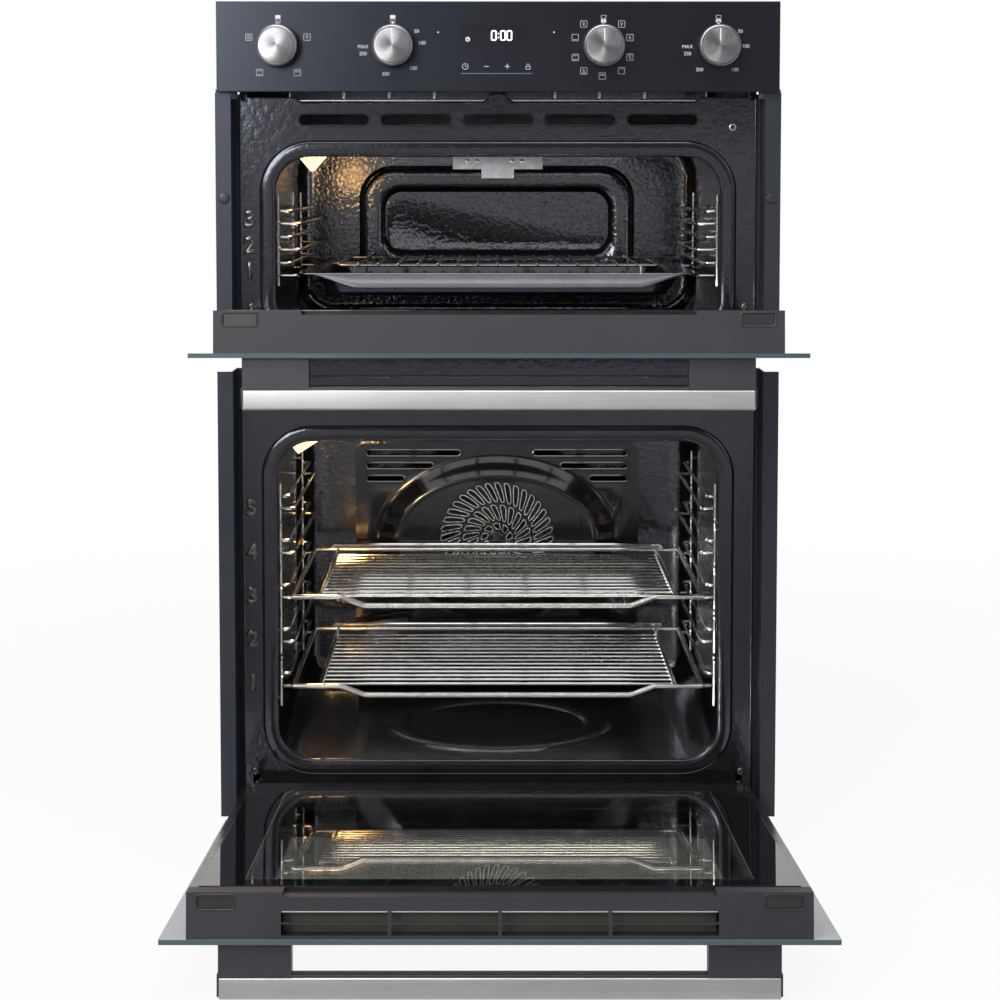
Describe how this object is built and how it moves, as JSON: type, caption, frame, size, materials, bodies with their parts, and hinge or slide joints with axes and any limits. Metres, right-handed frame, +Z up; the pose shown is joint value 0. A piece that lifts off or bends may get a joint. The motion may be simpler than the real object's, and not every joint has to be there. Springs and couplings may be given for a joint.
{
  "type": "built-in double wall oven",
  "caption": "Built-in double oven: a grill oven over a fan oven, with drop-down glass doors, bar handles, rotary controls, wire shelves and a grill pan.",
  "frame": {"origin": "middle of the oven's width on the underside of the base plate, 300 mm behind the face of the control panel", "axes": "+X to the user's right, +Y into the oven, +Z up"},
  "size_m": [0.6, 1.0457, 0.9009],
  "materials": {
    "casing_steel": "satin galvanised",
    "panel_black": "satin black",
    "trim_grey": "matte dark grey",
    "enamel": "glossy black enamel",
    "seal_black": "woven matte",
    "chrome_wire": "bright",
    "element_steel": "heat dulled",
    "zinc_steel": "zinc plated",
    "lamp_glass": "clear warm",
    "fibre_wool": "matte",
    "display_glass": "gloss black",
    "board_green": "satin",
    "inner_plastic": "satin",
    "knob_steel": "spun and knurled",
    "door_glass": "tinted black",
    "pane_glass": "clear",
    "door_enamel": "gloss black",
    "door_trim_grey": "matte dark grey",
    "clip_black": "matte black",
    "handle_steel": "brushed lengthways",
    "post_grey": "matte dark grey",
    "black_plastic": "matte black",
    "fan_steel": "rolled"
  },
  "bodies": {
    "chassis": {"outer_casing": "casing_steel", "base_plate": "casing_steel", "rear_cover": "casing_steel", "upper_front_frame": "enamel", "lower_front_frame": "enamel", "side_trims": "trim_grey", "front_fasteners": "black_plastic", "upper_cavity": "enamel", "lower_cavity": "enamel", "door_seals": "seal_black", "fan_cover": "enamel", "ring_heater": "element_steel", "fan_motor": "zinc_steel", "grill_elements": "element_steel", "grill_bracket": "zinc_steel", "lamp_lenses": "lamp_glass", "insulation": "fibre_wool", "upper_side_ladders": "chrome_wire", "lower_side_ladders": "chrome_wire", "control_panel": "panel_black", "display_window": "display_glass", "control_board": "board_green", "rotary_switches": "inner_plastic", "air_duct": "zinc_steel", "blower_housing": "zinc_steel", "terminal_block": "inner_plastic", "cable_bush": "black_plastic", "hinge_arms": "zinc_steel"},
    "upper_door": {"upper_door_glass": "door_glass", "upper_door_frame": "door_enamel", "upper_door_panes": "pane_glass", "upper_door_trim": "door_trim_grey", "upper_handle_bar": "handle_steel", "upper_handle_posts": "post_grey", "upper_hinge_cases": "zinc_steel"},
    "upper_left_clip": {"upper_left_clip": "clip_black"},
    "upper_left_latch": {"upper_left_latch": "zinc_steel"},
    "upper_right_clip": {"upper_right_clip": "clip_black"},
    "upper_right_latch": {"upper_right_latch": "zinc_steel"},
    "lower_door": {"lower_door_glass": "door_glass", "lower_door_frame": "door_enamel", "lower_door_panes": "pane_glass", "lower_door_trim": "door_trim_grey", "lower_handle_bar": "handle_steel", "lower_handle_posts": "post_grey", "lower_hinge_cases": "zinc_steel"},
    "lower_left_clip": {"lower_left_clip": "clip_black"},
    "lower_left_latch": {"lower_left_latch": "zinc_steel"},
    "lower_right_clip": {"lower_right_clip": "clip_black"},
    "lower_right_latch": {"lower_right_latch": "zinc_steel"},
    "convection_fan": {"convection_fan": "fan_steel"},
    "blower_wheel": {"blower_wheel": "fan_steel"},
    "upper_shelf": {"upper_shelf": "chrome_wire"},
    "lower_shelf": {"lower_shelf": "chrome_wire"},
    "upper_mode_knob": {"upper_mode_knob": "knob_steel"},
    "upper_heat_knob": {"upper_heat_knob": "knob_steel"},
    "lower_mode_knob": {"lower_mode_knob": "knob_steel"},
    "lower_heat_knob": {"lower_heat_knob": "knob_steel"},
    "grill_pan": {"grill_pan": "enamel", "trivet": "chrome_wire"}
  },
  "joints": [
    {"name": "upper_door_hinge", "type": "hinge", "parent": "chassis", "child": "upper_door", "pos_m": [0, -0.287, 0.512], "axis": [-1, 0, 0], "range_deg": [0, 85.5]},
    {"name": "upper_left_clip_press", "type": "slide", "parent": "upper_door", "child": "upper_left_clip", "axis": [0, 0.9969, -0.0785], "range_m": [0, 0.002], "stiffness_N_per_m": 200},
    {"name": "upper_left_latch_flip", "type": "hinge", "parent": "chassis", "child": "upper_left_latch", "pos_m": [-0.265, -0.259, 0.52789], "axis": [-1, 0, 0], "range_deg": [-50, 0]},
    {"name": "upper_right_clip_press", "type": "slide", "parent": "upper_door", "child": "upper_right_clip", "axis": [0, 0.9969, -0.0785], "range_m": [0, 0.002], "stiffness_N_per_m": 200},
    {"name": "upper_right_latch_flip", "type": "hinge", "parent": "chassis", "child": "upper_right_latch", "pos_m": [0.265, -0.259, 0.52789], "axis": [-1, 0, 0], "range_deg": [-50, 0]},
    {"name": "lower_door_hinge", "type": "hinge", "parent": "chassis", "child": "lower_door", "pos_m": [0, -0.287, 0.001], "axis": [-1, 0, 0], "range_deg": [0, 85.5]},
    {"name": "lower_left_clip_press", "type": "slide", "parent": "lower_door", "child": "lower_left_clip", "axis": [0, 0.9969, -0.0785], "range_m": [0, 0.002], "stiffness_N_per_m": 200},
    {"name": "lower_left_latch_flip", "type": "hinge", "parent": "chassis", "child": "lower_left_latch", "pos_m": [-0.265, -0.259, 0.01689], "axis": [-1, 0, 0], "range_deg": [-50, 0]},
    {"name": "lower_right_clip_press", "type": "slide", "parent": "lower_door", "child": "lower_right_clip", "axis": [0, 0.9969, -0.0785], "range_m": [0, 0.002], "stiffness_N_per_m": 200},
    {"name": "lower_right_latch_flip", "type": "hinge", "parent": "chassis", "child": "lower_right_latch", "pos_m": [0.265, -0.259, 0.01689], "axis": [-1, 0, 0], "range_deg": [-50, 0]},
    {"name": "upper_mode_knob_turn", "type": "hinge", "parent": "chassis", "child": "upper_mode_knob", "pos_m": [-0.232, -0.312, 0.829], "axis": [0, 1, 0], "range_deg": [0, 300]},
    {"name": "upper_heat_knob_turn", "type": "hinge", "parent": "chassis", "child": "upper_heat_knob", "pos_m": [-0.111, -0.312, 0.829], "axis": [0, 1, 0], "range_deg": [0, 270]},
    {"name": "lower_mode_knob_turn", "type": "hinge", "parent": "chassis", "child": "lower_mode_knob", "pos_m": [0.111, -0.312, 0.829], "axis": [0, 1, 0], "range_deg": [0, 325]},
    {"name": "lower_heat_knob_turn", "type": "hinge", "parent": "chassis", "child": "lower_heat_knob", "pos_m": [0.232, -0.312, 0.829], "axis": [0, 1, 0], "range_deg": [0, 270]},
    {"name": "convection_fan_spin", "type": "hinge", "parent": "chassis", "child": "convection_fan", "pos_m": [0, 0.132, 0.2435], "axis": [0, 1, 0], "continuous": true},
    {"name": "blower_wheel_spin", "type": "hinge", "parent": "chassis", "child": "blower_wheel", "pos_m": [-0.04, -0.0408, 0.82], "axis": [0, 0, 1], "continuous": true},
    {"name": "upper_shelf_slide", "type": "slide", "parent": "chassis", "child": "upper_shelf", "axis": [0, 1, 0], "range_m": [-0.25, 0]},
    {"name": "lower_shelf_slide", "type": "slide", "parent": "chassis", "child": "lower_shelf", "axis": [0, 1, 0], "range_m": [-0.25, 0]},
    {"name": "grill_pan_slide", "type": "slide", "parent": "chassis", "child": "grill_pan", "axis": [0, 1, 0], "range_m": [-0.25, 0]}
  ]
}
